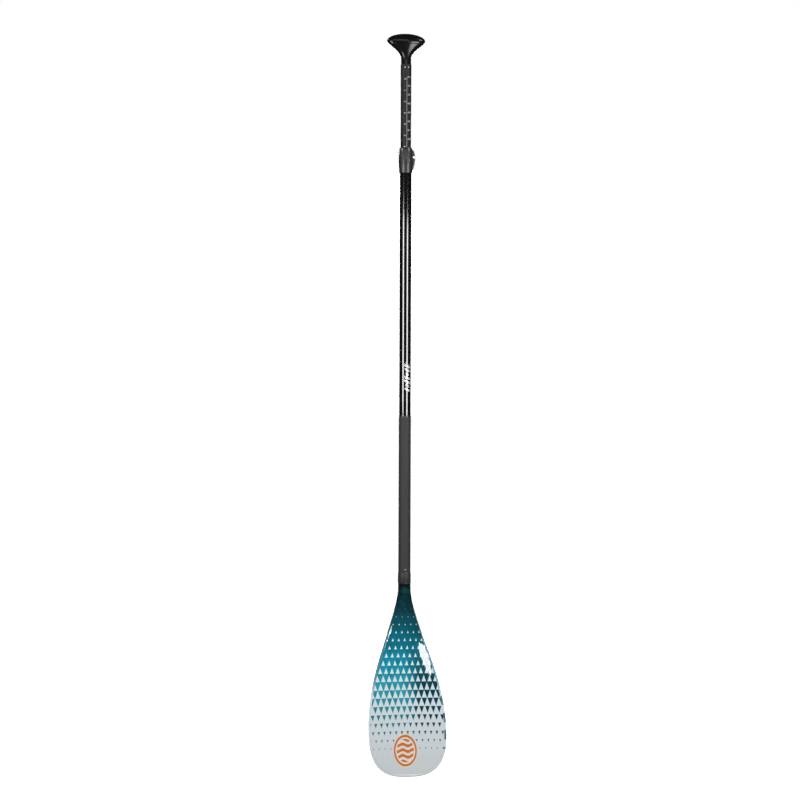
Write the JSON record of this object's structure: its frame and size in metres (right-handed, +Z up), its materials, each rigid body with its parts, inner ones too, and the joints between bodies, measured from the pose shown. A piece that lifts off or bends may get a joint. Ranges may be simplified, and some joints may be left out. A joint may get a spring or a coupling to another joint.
{
  "type": "adjustable stand-up paddle",
  "caption": "Upright adjustable single blade paddle: palm grip, scaled extension tube, lever clamp, shaft, push-button coupling and raked teardrop blade with a triangle pattern.",
  "frame": {"origin": "on the main shaft's axis, 447.5 mm above its lower end, where a hand or rack clip holds the upright paddle (mount shaft_clip); the blade tip is at Z -0.900", "axes": "+Z up along the shaft to the grip, +X to the right across the blade as its printed face is seen, -Y out of the printed face"},
  "size_m": [0.1776, 0.0825, 1.6675],
  "materials": {
    "grip_plastic": "gloss black moulded plastic",
    "satin_tube": "satin black pultruded tube with a pale printed length scale",
    "nylon": "natural moulded nylon",
    "clamp_plastic": "fine-textured dark grey glass-filled nylon",
    "bright_steel": "turned stainless steel",
    "dark_steel": "blackened steel",
    "spring_steel": "blue-grey spring steel strip",
    "gloss_shaft": "black fibre laminate, lacquered above and satin below",
    "ring_plastic": "matt grey moulded nylon",
    "ferrule_alloy": "anodised",
    "seal_rubber": "matt black rubber",
    "foam": "closed-cell foam",
    "blade_print": "lacquered laminate with a teal to pale grey triangle pattern",
    "blade_back": "lacquered dark teal laminate",
    "rail_plastic": "pale grey tough moulded edge"
  },
  "bodies": {
    "paddle": {"main_shaft": "gloss_shaft", "float_plug": "foam", "clamp_collar": "clamp_plastic", "clamp_liner": "nylon", "clamp_nut": "bright_steel", "clamp_bolt": "bright_steel", "cam_washer": "bright_steel", "collar_screw": "dark_steel", "coupling_ring": "ring_plastic", "blade_spigot": "ferrule_alloy", "spigot_seal": "seal_rubber", "spigot_plug": "nylon", "button_spring": "spring_steel", "blade_front_skin": "blade_print", "blade_back_skin": "blade_back", "blade_core": "foam", "edge_rail": "rail_plastic"},
    "extension": {"palm_grip": "grip_plastic", "extension_tube": "satin_tube", "extension_bush": "nylon"},
    "lever": {"clamp_lever": "clamp_plastic", "lever_pin": "bright_steel"},
    "button": {"snap_button": "bright_steel"}
  },
  "joints": [
    {"name": "height_adjust", "type": "slide", "parent": "paddle", "child": "extension", "axis": [0, 0, 1], "range_m": [-0.184, 0.42]},
    {"name": "lever_hinge", "type": "hinge", "parent": "paddle", "child": "lever", "pos_m": [0.0166, 0.0145, 0.4882], "axis": [0, 0, -1], "range_deg": [0, 115]},
    {"name": "button_press", "type": "slide", "parent": "paddle", "child": "button", "axis": [0, 1, 0], "range_m": [0, 0.0026], "stiffness_N_per_m": 800, "springref_m": -0.003, "deforming": ["button_spring"]}
  ]
}
